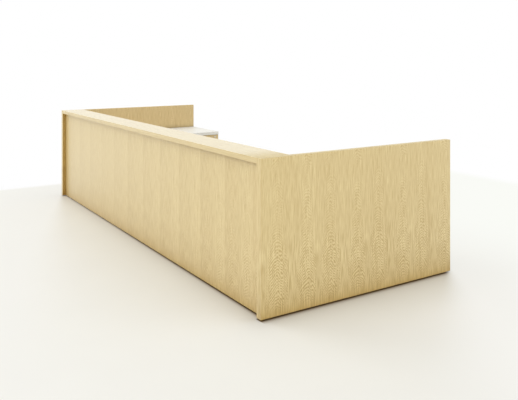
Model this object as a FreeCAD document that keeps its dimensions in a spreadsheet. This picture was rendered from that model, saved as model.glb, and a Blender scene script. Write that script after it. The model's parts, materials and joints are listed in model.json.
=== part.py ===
import FreeCAD, Part
import os
import re

import Sketcher

# A reception desk for two people, in millimetres.
# Visitors stand on the -Y side, staff sit on the +Y side and +Z is up.
# The origin is on the floor, under the middle of the whole desk. Left is -X and right is +X.
# The two halves mirror each other across the plane X = 0.

SIZES = (
    # Whole desk
    ("overall_length", 4572.0),
    ("overall_depth", 1829.0),
    ("overall_height", 1067.0),
    ("floor_gap", 8.0),
    # End panels and the easing of every edge that shows
    ("end_thickness", 52.0),
    ("arris", 1.0),
    # Front panels
    ("front_recess", 40.0),
    ("front_thickness", 28.0),
    # Transaction top, the high shelf on the visitors' side
    ("top_thickness", 38.0),
    ("top_depth", 265.0),
    # Worksurfaces: a run along the front and a return beside each end panel
    ("worksurface_height", 762.0),
    ("worksurface_thickness", 38.0),
    ("front_run_reach", 762.0),
    ("return_width", 711.0),
    # Gable under the middle of the front run
    ("gable_thickness", 28.0),
    ("gable_setback", 70.0),
    # Levelling glides
    ("pad_diameter", 26.0),
    ("stem_diameter", 8.0),
    ("stem_length", 14.0),
    ("glide_inset", 95.0),
    ("pedestal_glide_inset", 40.0),
    # Clearance round everything that sits in a drilled hole
    ("drill_slack", 0.1),
    # Dowels
    ("dowel_diameter", 8.0),
    ("dowel_length", 36.0),
    ("top_dowel_inset", 26.0),
    # Cam fittings: a bolt screwed into one panel and drawn in by a cam in the other
    ("cam_diameter", 15.0),
    ("cam_depth", 18.0),
    ("cam_axis_depth", 14.0),
    ("cam_setback", 34.0),
    ("cam_bolt_diameter", 6.0),
    ("cam_bolt_bite", 30.0),
    ("top_cam_inset", 110.0),
    # Draw bolts under the joints of the tops
    ("draw_reach", 80.0),
    ("draw_rod_diameter", 6.0),
    ("draw_rod_end", 6.0),
    ("draw_rod_depth", 10.0),
    ("draw_anchor_diameter", 20.0),
    ("draw_pocket_depth", 16.0),
    ("draw_inset", 120.0),
    # Steel rails that carry the worksurfaces along the end panels and the gable
    ("rail_leg", 38.0),
    ("rail_sheet", 4.0),
    ("rail_end_gap", 20.0),
    # Cantilever brackets under the front run
    ("cantilever_width", 80.0),
    ("cantilever_reach", 520.0),
    ("cantilever_drop", 300.0),
    ("cantilever_tip", 24.0),
    ("cantilever_plate", 6.0),
    # Brackets under the transaction top
    ("ledge_bracket_width", 60.0),
    ("ledge_bracket_reach", 165.0),
    ("ledge_bracket_tip", 16.0),
    ("ledge_bracket_plate", 4.0),
    # Pan-head screws
    ("screw_diameter", 4.5),
    ("screw_length", 20.0),
    ("screw_head_diameter", 9.0),
    ("screw_head_height", 3.0),
    # Cable trays
    ("tray_setback", 60.0),
    ("tray_width", 120.0),
    ("tray_height", 80.0),
    ("tray_lip", 38.0),
    ("tray_flange", 25.0),
    ("tray_sheet", 1.5),
    ("tray_end_gap", 10.0),
    # Grommets in the worksurfaces
    ("grommet_hole", 80.0),
    ("grommet_rim", 92.0),
    ("grommet_rim_height", 2.5),
    ("grommet_wall", 3.0),
    ("grommet_sleeve", 30.0),
    ("grommet_ledge", 4.0),
    ("grommet_play", 0.2),
    ("cap_thickness", 4.0),
    ("cap_slot_width", 24.0),
    ("cap_slot_depth", 18.0),
    # Pedestals
    ("pedestal_width", 400.0),
    ("pedestal_depth", 610.0),
    ("pedestal_setback", 6.0),
    ("case_thickness", 18.0),
    ("case_back_thickness", 12.0),
    ("front_clearance", 2.0),
    # Drawer fronts
    ("drawer_front_thickness", 19.0),
    ("drawer_reveal", 1.5),
    ("drawer_gap", 3.0),
    ("box_front_height", 165.0),
    # Drawer bodies, folded from steel sheet
    ("body_sheet", 1.2),
    ("body_length", 540.0),
    ("body_lift", 18.0),
    ("box_body_height", 105.0),
    ("file_body_lift", 34.0),
    ("file_body_height", 255.0),
    # Drawer slides
    ("slide_space", 12.7),
    ("slide_height", 36.0),
    ("slide_sheet", 1.5),
    ("slide_play", 0.5),
    ("slide_length", 500.0),
    ("slide_lift", 12.0),
    ("slide_end_gap", 4.0),
    # Drawer pulls
    ("pull_diameter", 10.0),
    ("pull_length", 168.0),
    ("pull_spacing", 128.0),
    ("pull_post_diameter", 8.0),
    ("pull_standoff", 30.0),
    # Locks of the upper drawers
    ("lock_diameter", 16.0),
    ("lock_rim_diameter", 21.0),
    ("lock_rim_height", 2.0),
    ("lock_drop", 25.0),
    ("lock_offset", 150.0),
    ("lock_play", 0.1),
    ("lock_tail_gap", 4.0),
    ("lock_tail_thickness", 3.0),
    ("lock_tail_width", 10.0),
    ("lock_tail_length", 20.0),
    ("lock_key_width", 1.6),
    ("lock_key_depth", 1.2),
    ("strike_gap", 0.6),
    ("strike_thickness", 2.0),
    ("strike_width", 60.0),
    ("strike_drop", 14.0),
    ("strike_flange", 16.0),
)

FRONT_PANEL_COUNT = 4
END_GLIDE_SHARES = (0.0, 0.5, 1.0)
FRONT_GLIDE_SHARES = (0.2, 0.8)
END_DOWEL_SHARES = (0.2, 0.4, 0.62, 0.86)
END_CAM_SHARES = (0.1, 0.5, 0.94)
JOINT_DOWEL_SHARES = (0.08, 0.45, 0.75, 0.95)
GABLE_DOWEL_SHARES = (0.15, 0.6)
CANTILEVER_SHARES = (0.25, 0.5, 0.75)
LEDGE_BRACKET_SHARES = (0.08, 0.5, 0.92)
LEDGE_BRACKET_DROP_SHARE = 0.5
ARM_SCREW_SHARES = (0.35, 0.85)
BACK_SCREW_SHARES = (0.2, 0.8)
RAIL_SCREW_SHARES = (0.2, 0.8)
RUN_BOLT_SHARES = (0.3, 0.8)
TRAY_SHARE = 0.625
TRAY_SCREW_SHARES = (0.1, 0.9)

# Planes and lengths of the desk, each a formula in the sizes above.
FRONT_Y = "(-overall_depth / 2)"
REAR_Y = "(overall_depth / 2)"
HALF = "(overall_length / 2)"
INNER = "(overall_length / 2 - end_thickness)"
FACE_Y = f"({FRONT_Y} + front_recess)"
BACK_Y = f"({FACE_Y} + front_thickness)"
FRONT_MID_Y = f"({FACE_Y} + front_thickness / 2)"
LEDGE_BACK_Y = f"({FRONT_Y} + top_depth)"
LEDGE_UNDER = "(overall_height - top_thickness)"
LEDGE_BRACKET_DROP = f"(({LEDGE_UNDER} - worksurface_height) * {LEDGE_BRACKET_DROP_SHARE})"
RUN_EDGE_Y = f"({FRONT_Y} + front_run_reach)"
DESK_UNDER = "(worksurface_height - worksurface_thickness)"
RETURN_EDGE = f"({INNER} - return_width)"
GABLE_END_Y = f"({RUN_EDGE_Y} - gable_setback)"
GROMMET_X = f"({INNER} * {TRAY_SHARE})"
GROMMET_Y = f"({BACK_Y} + tray_setback + tray_width / 2)"
# Distances from the middle plane out through a pedestal, whose drawers face the middle.
FRONT_OUT = f"({RETURN_EDGE} + pedestal_setback)"
FRONT_IN = f"({FRONT_OUT} + drawer_front_thickness)"
CASE_OUT = f"({FRONT_IN} + front_clearance)"
CASE_IN = f"({FRONT_OUT} + pedestal_depth)"
PEDESTAL_Y = f"({REAR_Y} - pedestal_width)"
PEDESTAL_MID_Y = f"({REAR_Y} - pedestal_width / 2)"
BODY_HALF_WIDTH = "(pedestal_width / 2 - case_thickness - slide_space)"
CASE_HALF_WIDTH = "(pedestal_width / 2 - case_thickness)"

SIDES = {"left": -1, "right": 1}
TURNS = {
    "x": FreeCAD.Rotation(FreeCAD.Vector(0, 0, 1), FreeCAD.Vector(1, 0, 0)),
    "y": FreeCAD.Rotation(FreeCAD.Vector(0, 0, 1), FreeCAD.Vector(0, 1, 0)),
    "z": FreeCAD.Rotation(),
}

doc = FreeCAD.newDocument("ReceptionDesk")
sheet = doc.addObject("Spreadsheet::Sheet", "Sizes")
subparts = []
blanks = {}
cuts = {}
dowels = []
cam_fittings = []
draw_bolts = []
glides = []
screws = []


def fill_sheet():
    """Write the driving sizes, each under its own name."""
    for row, (name, value) in enumerate(SIZES, start=1):
        sheet.set(f"A{row}", name)
        sheet.set(f"B{row}", str(value))
        sheet.setAlias(f"B{row}", name)
    doc.recompute()


def cells(formula):
    """The formula with each size's name pointed at its cell."""
    return re.sub(r"[a-z]\w*", lambda word: "Sizes." + word.group(), formula)


def bind(thing, **formulas):
    """Bind properties of an object to formulas in the sizes."""
    for name, formula in formulas.items():
        thing.setExpression(name, cells(formula))


def put(thing, place, turn="z"):
    """Turn an object's own Z along an axis and bind where its base stands."""
    thing.Placement = FreeCAD.Placement(FreeCAD.Vector(), TURNS[turn])
    for letter, formula in zip("xyz", place):
        thing.setExpression("Placement.Base." + letter, cells(formula))


def outward(side, near, far):
    """An interval of X, given by two distances from the middle plane."""
    if SIDES[side] > 0:
        return near, far
    return f"-({far})", f"-({near})"


def mirrored(side, distance):
    """A place on X, given by its distance from the middle plane."""
    return distance if SIDES[side] > 0 else f"-({distance})"


def low_end(point, axis, length, sense):
    """Where a stretch begins that runs from a point along an axis: 1 up, -1 down, 0 both ways alike."""
    back = {1: "", -1: f" - ({length})", 0: f" - ({length}) / 2"}[sense]
    return tuple(at + back if letter == axis else at for letter, at in zip("xyz", point))


def keep(thing):
    """Count an object as one of the desk's sub-parts."""
    subparts.append(thing)
    return thing


def board(label, x, y, z, eased=False):
    """A board between three pairs of planes, sketched in plan and padded up; its holes follow later."""
    body = doc.addObject("PartDesign::Body", label + "_blank")
    sketch = body.newObject("Sketcher::SketchObject", label + "_outline")
    plan = next(feature for feature in body.Origin.OriginFeatures if feature.Role == "XY_Plane")
    sketch.AttachmentSupport = [(plan, "")]
    sketch.MapMode = "FlatFace"
    ends = [FreeCAD.Vector(0, 0), FreeCAD.Vector(1, 0), FreeCAD.Vector(1, 1), FreeCAD.Vector(0, 1)]
    for index in range(4):
        sketch.addGeometry(Part.LineSegment(ends[index], ends[(index + 1) % 4]), False)
    for index in range(4):
        sketch.addConstraint(Sketcher.Constraint("Coincident", index, 2, (index + 1) % 4, 1))
        sketch.addConstraint(Sketcher.Constraint("Horizontal" if index % 2 == 0 else "Vertical", index))
    sketch.addConstraint(Sketcher.Constraint("Coincident", 0, 1, -1, 1))
    for name, kind, edge, (low, high) in (("across", "DistanceX", 0, x), ("along", "DistanceY", 1, y)):
        row = sketch.addConstraint(Sketcher.Constraint(kind, edge, 1, edge, 2, 1))
        sketch.renameConstraint(row, name)
        sketch.setExpression("Constraints." + name, cells(f"({high}) - ({low})"))
    pad = body.newObject("PartDesign::Pad", label + "_board")
    pad.Profile = sketch
    bind(pad, Length=f"({z[1]}) - ({z[0]})")
    if eased:
        easing = body.newObject("PartDesign::Chamfer", label + "_arrises")
        easing.Base = (pad, [f"Edge{number}" for number in range(1, 13)])
        bind(easing, Size="arris")
    put(body, (x[0], y[0], z[0]))
    blanks[label] = body
    cuts[label] = []


def rod(name, point, axis, diameter, length, sense=0):
    """A round bar from a point along an axis, or both ways from it."""
    bar = doc.addObject("Part::Cylinder", name)
    bind(bar, Radius=f"({diameter}) / 2", Height=length)
    put(bar, low_end(point, axis, length, sense), axis)
    return bar


def block(name, x, y, z):
    """A rectangular block between three pairs of planes."""
    box = doc.addObject("Part::Box", name)
    bind(box, Length=f"({x[1]}) - ({x[0]})", Width=f"({y[1]}) - ({y[0]})", Height=f"({z[1]}) - ({z[0]})")
    put(box, (x[0], y[0], z[0]))
    return box


def drill(label, point, axis, diameter, length, sense=0):
    """Drill a board from a point along an axis, or both ways from it."""
    cuts[label].append(rod(label + "_hole", point, axis, diameter, length, sense))


def mill(label, x, y, z):
    """Mill a rectangular pocket in a board."""
    cuts[label].append(block(label + "_pocket", x, y, z))


def joined(name, shapes):
    """Several shapes as one solid."""
    fuse = doc.addObject("Part::MultiFuse", name)
    fuse.Shapes = shapes
    fuse.Refine = True
    return fuse


def cut(name, base, tools):
    """A shape with others taken out of it."""
    result = doc.addObject("Part::Cut", name)
    result.Base = base
    result.Tool = tools[0] if len(tools) == 1 else joined(name + "_tools", tools)
    return result


def group(label, solids):
    """Like pieces that share one sub-part, each a solid of its own."""
    compound = doc.addObject("Part::Compound", label)
    compound.Links = solids
    return keep(compound)


def finish_boards():
    """Take each board's holes and pockets out of its blank."""
    for label, blank in blanks.items():
        if cuts[label]:
            keep(cut(label, blank, cuts[label]))
        else:
            blank.Label = label
            keep(blank)


# Fixings


def add_dowel(point, axis, boards):
    """A dowel across the joint of two boards, drilled in both."""
    dowels.append(rod("dowel", point, axis, "dowel_diameter", "dowel_length"))
    for label in boards:
        drill(label, point, axis, "dowel_diameter + 2 * drill_slack", "dowel_length + 2 * drill_slack")


def add_cam(joint, side, cam_axis, sense, cam_board, bolt_board):
    """A cam fitting at a point of a joint that faces along X; sense is the way from the bolt to the cam's face."""
    toward_middle = -SIDES[side]
    bolt_start = (mirrored(side, f"{INNER} + cam_bolt_bite"),) + joint[1:]
    bolt_length = "cam_bolt_bite + cam_setback - cam_diameter / 4"
    centre = list((mirrored(side, f"{INNER} - cam_setback"),) + joint[1:])
    place = "xyz".index(cam_axis)
    centre[place] = f"{centre[place]} + ({sense}) * cam_axis_depth"
    bore = ("x", "cam_bolt_diameter + 2 * drill_slack", f"{bolt_length} + drill_slack", toward_middle)
    cam_fittings.append(rod("cam_bolt", bolt_start, "x", "cam_bolt_diameter", bolt_length, toward_middle))
    cam = rod("cam_blank", centre, cam_axis, "cam_diameter", "cam_depth", -sense)
    cam_fittings.append(cut("cam", cam, [rod("cam_eye", bolt_start, *bore)]))
    drill(cam_board, centre, cam_axis, "cam_diameter + 2 * drill_slack", "cam_depth + drill_slack", -sense)
    for label in (cam_board, bolt_board):
        drill(label, bolt_start, *bore)


def add_draw_bolt(joint, axis, under, boards):
    """A bolt across the underside of a joint, between two anchors let into the tops."""
    place = "xyz".index(axis)
    level = list(joint)
    level[2] = f"{under} + draw_rod_depth"
    draw_bolts.append(rod("draw_rod", level, axis, "draw_rod_diameter", "2 * draw_reach + 2 * draw_rod_end"))
    for label, way in zip(boards, (-1, 1)):
        pocket = list(joint)
        pocket[2] = under
        pocket[place] = f"({joint[place]}) + ({way}) * draw_reach"
        anchor = rod("anchor_blank", pocket, "z", "draw_anchor_diameter", "draw_pocket_depth", 1)
        eye = rod("anchor_eye", level, axis, "draw_rod_diameter + 2 * drill_slack", "2 * draw_reach + draw_inset")
        draw_bolts.append(cut("draw_anchor", anchor, [eye]))
        drill(label, pocket, "z", "draw_anchor_diameter + 2 * drill_slack", "draw_pocket_depth + drill_slack", 1)
        groove = []
        for letter, at in zip("xy", joint):
            if letter != axis:
                groove.append((f"{at} - draw_rod_diameter", f"{at} + draw_rod_diameter"))
            elif way > 0:
                groove.append((at, f"{at} + draw_reach"))
            else:
                groove.append((f"{at} - draw_reach", at))
        mill(label, groove[0], groove[1], (under, f"{under} + draw_pocket_depth"))


def add_glide(label, x, y):
    """A levelling glide under a board: a round pad on the floor and a threaded stem up into the board."""
    base = (x, y, "0")
    pad = rod("glide_pad", base, "z", "pad_diameter", "floor_gap", 1)
    stem = rod("glide_stem", base, "z", "stem_diameter", "floor_gap + stem_length", 1)
    glides.append(joined("glide", [pad, stem]))
    hole = (x, y, "floor_gap")
    drill(label, hole, "z", "stem_diameter + 2 * drill_slack", "2 * stem_length + 2 * drill_slack")


def add_screw(seat, axis, sense, label):
    """A screw whose head sits at a point, driven into a board; returns the hole that its plate needs."""
    head = rod("screw_head", seat, axis, "screw_head_diameter", "screw_head_height", -sense)
    shank = rod("screw_shank", seat, axis, "screw_diameter", "screw_length", sense)
    screws.append(joined("screw", [head, shank]))
    hole = ("screw_diameter + 2 * drill_slack", "screw_length + drill_slack", sense)
    drill(label, seat, axis, *hole)
    return rod("screw_hole", seat, axis, *hole)


# Panels


def end_panel(side):
    board(f"end_panel_{side}", outward(side, INNER, HALF), (FRONT_Y, REAR_Y), ("floor_gap", "overall_height"), True)


def front_panels():
    """The recessed front, made of equal panels with the grain upright."""
    for number in range(FRONT_PANEL_COUNT):
        edges = [f"{INNER} * ({2 * index / FRONT_PANEL_COUNT - 1})" for index in (number, number + 1)]
        board(f"front_panel_{number + 1}", edges, (FACE_Y, BACK_Y), ("floor_gap", LEDGE_UNDER))


def transaction_top(side):
    x = outward(side, "0", INNER)
    board(f"transaction_top_{side}", x, (FRONT_Y, LEDGE_BACK_Y), (LEDGE_UNDER, "overall_height"), True)


def worksurfaces(side):
    """The run along the front and the return beside the end panel."""
    z = (DESK_UNDER, "worksurface_height")
    board(f"worksurface_front_{side}", outward(side, "0", INNER), (BACK_Y, RUN_EDGE_Y), z, True)
    board(f"worksurface_return_{side}", outward(side, RETURN_EDGE, INNER), (RUN_EDGE_Y, REAR_Y), z, True)


def gable():
    x = ("-gable_thickness / 2", "gable_thickness / 2")
    board("centre_gable", x, (BACK_Y, GABLE_END_Y), ("floor_gap", DESK_UNDER))


def panel_height(share, top):
    """A height between the panels' lower edges and a plane above them."""
    return f"(floor_gap + ({top} - floor_gap) * {share})"


def join_front():
    """Dowels and cams of the front panels, the gable and the end panels."""
    for side, outer in (("left", 1), ("right", FRONT_PANEL_COUNT)):
        ends = (f"front_panel_{outer}", f"end_panel_{side}")
        for share in END_DOWEL_SHARES:
            add_dowel((mirrored(side, INNER), FRONT_MID_Y, panel_height(share, LEDGE_UNDER)), "x", ends)
        for share in END_CAM_SHARES:
            axis_y = f"({BACK_Y} - cam_axis_depth)"
            add_cam(("", axis_y, panel_height(share, LEDGE_UNDER)), side, "y", 1, *ends)
    for number in range(1, FRONT_PANEL_COUNT):
        joint = f"{INNER} * ({2 * number / FRONT_PANEL_COUNT - 1})"
        for share in JOINT_DOWEL_SHARES:
            pair = (f"front_panel_{number}", f"front_panel_{number + 1}")
            add_dowel((joint, FRONT_MID_Y, panel_height(share, LEDGE_UNDER)), "x", pair)
    for sign, number in ((-1, FRONT_PANEL_COUNT // 2), (1, FRONT_PANEL_COUNT // 2 + 1)):
        for share in GABLE_DOWEL_SHARES:
            point = (f"({sign}) * gable_thickness / 4", BACK_Y, panel_height(share, DESK_UNDER))
            add_dowel(point, "y", ("centre_gable", f"front_panel_{number}"))


def join_tops():
    """Dowels, cams and draw bolts of the transaction top and the worksurfaces."""
    ledge_mid = f"({LEDGE_UNDER} + top_thickness / 2)"
    dowel_rows = (f"({FRONT_Y} + top_dowel_inset)", f"({LEDGE_BACK_Y} - top_dowel_inset)")
    cam_row = f"({BACK_Y} + top_cam_inset)"
    for side in SIDES:
        top = f"transaction_top_{side}"
        for row in dowel_rows:
            add_dowel((mirrored(side, INNER), row, ledge_mid), "x", (top, f"end_panel_{side}"))
        add_cam(("", cam_row, f"({LEDGE_UNDER} + cam_axis_depth)"), side, "z", -1, top, f"end_panel_{side}")
        run, wing = f"worksurface_front_{side}", f"worksurface_return_{side}"
        for distance in (f"({RETURN_EDGE} + draw_inset)", f"({INNER} - draw_inset)"):
            add_draw_bolt((mirrored(side, distance), RUN_EDGE_Y, ""), "y", DESK_UNDER, (run, wing))
    for row in dowel_rows:
        add_dowel(("0", row, ledge_mid), "x", ("transaction_top_left", "transaction_top_right"))
    add_draw_bolt(("0", cam_row, ""), "x", LEDGE_UNDER, ("transaction_top_left", "transaction_top_right"))
    for share in RUN_BOLT_SHARES:
        row = f"({BACK_Y} + ({RUN_EDGE_Y} - {BACK_Y}) * {share})"
        add_draw_bolt(("0", row, ""), "x", DESK_UNDER, ("worksurface_front_left", "worksurface_front_right"))


def desk_glides():
    """Glides under the end panels, the front panels and the gable."""
    for side in SIDES:
        for share in END_GLIDE_SHARES:
            y = f"({FRONT_Y} + glide_inset + (overall_depth - 2 * glide_inset) * {share})"
            add_glide(f"end_panel_{side}", mirrored(side, f"({INNER} + end_thickness / 2)"), y)
    for number in range(FRONT_PANEL_COUNT):
        for share in FRONT_GLIDE_SHARES:
            x = f"{INNER} * ({2 * (number + share) / FRONT_PANEL_COUNT - 1})"
            add_glide(f"front_panel_{number + 1}", x, FRONT_MID_Y)
    for y in (f"({BACK_Y} + glide_inset)", f"({GABLE_END_Y} - glide_inset)"):
        add_glide("centre_gable", "0", y)


# Steelwork


def gusset_bracket(side, share, under, drop, kind, top_board):
    """A welded bracket behind the front: a back plate, an arm plate and a tapering web."""
    width, reach, tip, plate = (f"{kind}_{word}" for word in ("width", "reach", "tip", "plate"))
    centre = mirrored(side, f"{INNER} * {share}")
    x = (f"{centre} - {width} / 2", f"{centre} + {width} / 2")
    web = doc.addObject("Part::Wedge", f"{kind}_web")
    bind(web, Xmin="0", X2min="0", Xmax=plate, X2max=plate, Ymin="0", Ymax=reach)
    bind(web, Zmin="0", Zmax=drop, Z2min=f"{drop} - {tip}", Z2max=drop)
    put(web, (f"{centre} - {plate} / 2", BACK_Y, f"{under} - {drop}"))
    back = block(f"{kind}_back", x, (BACK_Y, f"{BACK_Y} + {plate}"), (f"{under} - {drop}", under))
    arm = block(f"{kind}_arm", x, (BACK_Y, f"{BACK_Y} + {reach}"), (f"{under} - {plate}", under))
    holes = []
    for arm_share, way in zip(ARM_SCREW_SHARES, (-1, 1)):
        seat = (f"{centre} + ({way}) * {width} / 4", f"{BACK_Y} + {reach} * {arm_share}", f"{under} - {plate}")
        holes.append(add_screw(seat, "z", 1, top_board))
    for back_share, way in zip(BACK_SCREW_SHARES, (-1, 1)):
        seat = (f"{centre} + ({way}) * {width} / 4", f"{BACK_Y} + {plate}", f"{under} - {drop} * {back_share}")
        away = way * SIDES[side] > 0
        outer = share > 1 / 2 or (share == 1 / 2 and away)
        number = {"left": (2, 1), "right": (3, 4)}[side][outer]
        holes.append(add_screw(seat, "y", -1, f"front_panel_{number}"))
    return cut(kind, joined(f"{kind}_weldment", [back, arm, web]), holes)


def bracket_sets():
    """Brackets under the front run and under the transaction top."""
    for kind, shares, under, drop, top in (
        ("cantilever", CANTILEVER_SHARES, DESK_UNDER, "cantilever_drop", "worksurface_front"),
        ("ledge_bracket", LEDGE_BRACKET_SHARES, LEDGE_UNDER, LEDGE_BRACKET_DROP, "transaction_top"),
    ):
        brackets = [
            gusset_bracket(side, share, under, drop, kind, f"{top}_{side}") for side in SIDES for share in shares
        ]
        group(f"{kind}s", brackets)


def rail(side, face, way, y, panel, tops):
    """An angle rail: one leg on a panel's face, the other under the worksurfaces."""
    leg = f"{face} + ({way}) * rail_leg"
    sheet_face = f"{face} + ({way}) * rail_sheet"
    order = way if side == "right" else -way
    near, far = (face, leg) if way > 0 else (leg, face)
    upright = (face, sheet_face) if way > 0 else (sheet_face, face)
    low = f"{DESK_UNDER} - rail_leg"
    flat = block("rail_flat", outward(side, near, far), y, (f"{DESK_UNDER} - rail_sheet", DESK_UNDER))
    stand = block("rail_upright", outward(side, *upright), y, (low, DESK_UNDER))
    holes = []
    for share, top in zip(RAIL_SCREW_SHARES, tops):
        row = f"({y[0]} + ({y[1]} - {y[0]}) * {share})"
        middle = f"{face} + ({way}) * (rail_leg + rail_sheet) / 2"
        holes.append(add_screw((mirrored(side, middle), row, f"{DESK_UNDER} - rail_sheet"), "z", 1, top))
        offset = f"{row} + ({SIDES[side]}) * rail_leg"
        seat = (mirrored(side, sheet_face), offset, f"{DESK_UNDER} - (rail_leg + rail_sheet) / 2")
        holes.append(add_screw(seat, "x", -order, panel))
    return cut("rail", joined("rail_angle", [flat, stand]), holes)


def rails():
    """Rails on the end panels and on both faces of the gable."""
    made = []
    for side in SIDES:
        y = (f"({BACK_Y} + rail_end_gap)", f"({REAR_Y} - rail_end_gap)")
        tops = (f"worksurface_front_{side}", f"worksurface_return_{side}")
        made.append(rail(side, INNER, -1, y, f"end_panel_{side}", tops))
        y = (f"({BACK_Y} + rail_end_gap)", f"({GABLE_END_Y} - rail_end_gap)")
        made.append(rail(side, "gable_thickness / 2", 1, y, "centre_gable", (tops[0], tops[0])))
    group("worksurface_rails", made)


def cable_tray(side):
    """A folded tray under the grommet, open above its front lip, between two brackets."""
    spread = f"{INNER} * {CANTILEVER_SHARES[2] - CANTILEVER_SHARES[1]}"
    half = f"(({spread} - cantilever_width) / 2 - tray_end_gap)"
    x = outward(side, f"{GROMMET_X} - {half}", f"{GROMMET_X} + {half}")
    back = f"({BACK_Y} + tray_setback)"
    front = f"({back} + tray_width)"
    floor = f"({DESK_UNDER} - tray_height)"
    flange = (f"{back} - tray_flange", f"{back} + tray_sheet")
    walls = [
        block("tray_flange_plate", x, flange, (f"{DESK_UNDER} - tray_sheet", DESK_UNDER)),
        block("tray_back", x, (back, f"{back} + tray_sheet"), (floor, DESK_UNDER)),
        block("tray_floor", x, (back, front), (floor, f"{floor} + tray_sheet")),
        block("tray_lip_plate", x, (f"{front} - tray_sheet", front), (floor, f"{floor} + tray_lip")),
    ]
    holes = []
    for share in TRAY_SCREW_SHARES:
        seat_x = f"({x[0]} + ({x[1]} - ({x[0]})) * {share})"
        seat = (seat_x, f"{back} - tray_flange / 2", f"{DESK_UNDER} - tray_sheet")
        holes.append(add_screw(seat, "z", 1, f"worksurface_front_{side}"))
    keep(cut(f"cable_tray_{side}", joined("tray_fold", walls), holes))


# Grommets


def grommets():
    """A liner in each worksurface, with a slotted cap that turns in it."""
    liners = []
    top = "(worksurface_height + grommet_rim_height)"
    bore = "(grommet_hole - 2 * drill_slack - 2 * grommet_wall)"
    for side in SIDES:
        centre = (mirrored(side, GROMMET_X), GROMMET_Y)
        surface = centre + ("worksurface_height",)
        drill(f"worksurface_front_{side}", surface, "z", "grommet_hole", "3 * worksurface_thickness")
        rim = rod("liner_rim", surface, "z", "grommet_rim", "grommet_rim_height", 1)
        sleeve_length = "grommet_sleeve + grommet_rim_height"
        sleeve = rod("liner_sleeve", centre + (top,), "z", "grommet_hole - 2 * drill_slack", sleeve_length, -1)
        well = rod("liner_well", centre + (top,), "z", bore, "2 * cap_thickness")
        throat = rod("liner_throat", centre + (top,), "z", f"{bore} - 2 * grommet_ledge", "3 * grommet_sleeve")
        liners.append(cut("liner", joined("liner_blank", [rim, sleeve]), [well, throat]))
        disc = rod("cap_disc", centre + (top,), "z", f"{bore} - 2 * grommet_play", "cap_thickness", -1)
        x = (f"{centre[0]} - cap_slot_width / 2", f"{centre[0]} + cap_slot_width / 2")
        edge = f"{GROMMET_Y} - {bore} / 2"
        z = (f"{top} - 2 * cap_thickness", f"{top} + cap_thickness")
        slot = block("cap_slot", x, (f"{edge} - cap_slot_depth", f"{edge} + cap_slot_depth"), z)
        keep(cut(f"grommet_cap_{side}", disc, [slot]))
    group("grommet_liners", liners)


# Pedestals


def pedestal_case(side):
    """Two side boards, a back and a bottom, hung together under the return's rear end."""
    x = outward(side, CASE_OUT, CASE_IN)
    z = ("floor_gap", DESK_UNDER)
    inner_y = (f"{PEDESTAL_Y} + case_thickness", f"{REAR_Y} - case_thickness")
    board(f"pedestal_{side}_side_front", x, (PEDESTAL_Y, inner_y[0]), z)
    board(f"pedestal_{side}_side_rear", x, (inner_y[1], REAR_Y), z)
    bottom_x = outward(side, CASE_OUT, f"{CASE_IN} - case_back_thickness")
    bottom = f"pedestal_{side}_bottom"
    board(bottom, bottom_x, inner_y, ("floor_gap", "floor_gap + case_thickness"))
    back_x = outward(side, f"{CASE_IN} - case_back_thickness", CASE_IN)
    board(f"pedestal_{side}_back", back_x, inner_y, z)
    for x_at in (f"{CASE_OUT} + pedestal_glide_inset", f"{CASE_IN} - case_back_thickness - pedestal_glide_inset"):
        for y_at in (f"{inner_y[0]} + pedestal_glide_inset", f"{inner_y[1]} - pedestal_glide_inset"):
            add_glide(bottom, mirrored(side, x_at), y_at)


def drawer_rows():
    """Each drawer's name, and the formulas of its front's lower and upper edges and its body's lower and upper edges."""
    top = f"({DESK_UNDER} - drawer_gap)"
    rows = []
    for name in ("upper", "middle"):
        low = f"({top} - box_front_height)"
        body = f"({low} + body_lift)"
        rows.append((name, low, top, body, f"({body} + box_body_height)"))
        top = f"({low} - drawer_gap)"
    body = "(floor_gap + file_body_lift)"
    rows.append(("file", "floor_gap", top, body, f"({body} + file_body_height)"))
    return rows


def slide_channel(name, x, sign, depth, sheet_from, centre, height):
    """A C channel beside a drawer, its web toward the case; sheet_from is the web's distance from the case side."""
    wall = f"(({sign}) * ({CASE_HALF_WIDTH} - ({sheet_from})) + {PEDESTAL_MID_Y})"

    def inward(start, end):
        pair = (f"{wall} - ({sign}) * ({start})", f"{wall} - ({sign}) * ({end})")
        return pair if sign < 0 else pair[::-1]

    low, high = f"({centre} - ({height}) / 2)", f"({centre} + ({height}) / 2)"
    return joined(name, [
        block(name + "_web", x, inward("0", "slide_sheet"), (low, high)),
        block(name + "_lower", x, inward("0", depth), (low, f"{low} + slide_sheet")),
        block(name + "_upper", x, inward("0", depth), (f"{high} - slide_sheet", high)),
    ])


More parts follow.
